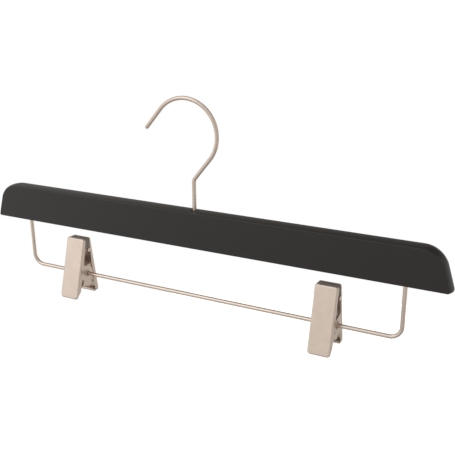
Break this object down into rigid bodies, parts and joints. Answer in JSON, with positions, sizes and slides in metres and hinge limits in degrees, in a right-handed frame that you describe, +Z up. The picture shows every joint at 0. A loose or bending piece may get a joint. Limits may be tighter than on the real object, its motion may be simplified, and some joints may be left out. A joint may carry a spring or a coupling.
{
  "type": "trouser hanger",
  "caption": "Wooden bar on a swivel wire hook, with a bent steel rod below it that carries sliding sprung clips with padded jaws for trousers and skirts.",
  "frame": {"origin": "top of the inside of the hook, where it sits on a wardrobe rail", "axes": "+X along the bar to the right seen from the front, +Y to the back, +Z up"},
  "size_m": [0.398, 0.0319, 0.182],
  "materials": {
    "stained_wood": "black stained and satin lacquered",
    "satin_nickel": "satin nickel plate with a warm tint",
    "steel_inner": "plain zinc plate",
    "spring_steel": "drawn spring wire, nickel plated",
    "grip_pad": "moulded soft PVC"
  },
  "bodies": {
    "hook": {"hook": "satin_nickel"},
    "bar": {"hanger_bar": "stained_wood", "hook_washer": "steel_inner", "clip_rod": "satin_nickel"},
    "left_slider": {"left_clip_tube": "satin_nickel"},
    "left_front": {"left_front_plate": "satin_nickel", "left_front_pad": "grip_pad", "left_clip_spring": "spring_steel"},
    "left_back": {"left_back_plate": "satin_nickel", "left_back_pad": "grip_pad"},
    "right_slider": {"right_clip_tube": "satin_nickel"},
    "right_front": {"right_front_plate": "satin_nickel", "right_front_pad": "grip_pad", "right_clip_spring": "spring_steel"},
    "right_back": {"right_back_plate": "satin_nickel", "right_back_pad": "grip_pad"}
  },
  "joints": [
    {"name": "hook_swivel", "type": "hinge", "parent": "hook", "child": "bar", "pos_m": [0.007, 0, -0.08505], "axis": [0, 0, 1], "continuous": true},
    {"name": "left_clip_slide", "type": "slide", "parent": "bar", "child": "left_slider", "axis": [1, 0, 0], "range_m": [-0.03, 0.107]},
    {"name": "left_clip_swivel", "type": "hinge", "parent": "left_slider", "child": "left_front", "pos_m": [-0.1102, 0, -0.15755], "axis": [1, 0, 0], "continuous": true},
    {"name": "left_clip_open", "type": "hinge", "parent": "left_front", "child": "left_back", "pos_m": [-0.1102, 0, -0.15755], "axis": [-1, 0, 0], "range_deg": [0, 30], "stiffness_Nm_per_rad": 0.25, "springref_deg": -2.86, "deforming": ["left_clip_spring"]},
    {"name": "right_clip_slide", "type": "slide", "parent": "bar", "child": "right_slider", "axis": [1, 0, 0], "range_m": [-0.1003, 0.037]},
    {"name": "right_clip_swivel", "type": "hinge", "parent": "right_slider", "child": "right_front", "pos_m": [0.1173, 0, -0.15755], "axis": [1, 0, 0], "continuous": true},
    {"name": "right_clip_open", "type": "hinge", "parent": "right_front", "child": "right_back", "pos_m": [0.1173, 0, -0.15755], "axis": [-1, 0, 0], "range_deg": [0, 30], "stiffness_Nm_per_rad": 0.25, "springref_deg": -2.86, "deforming": ["right_clip_spring"]}
  ]
}
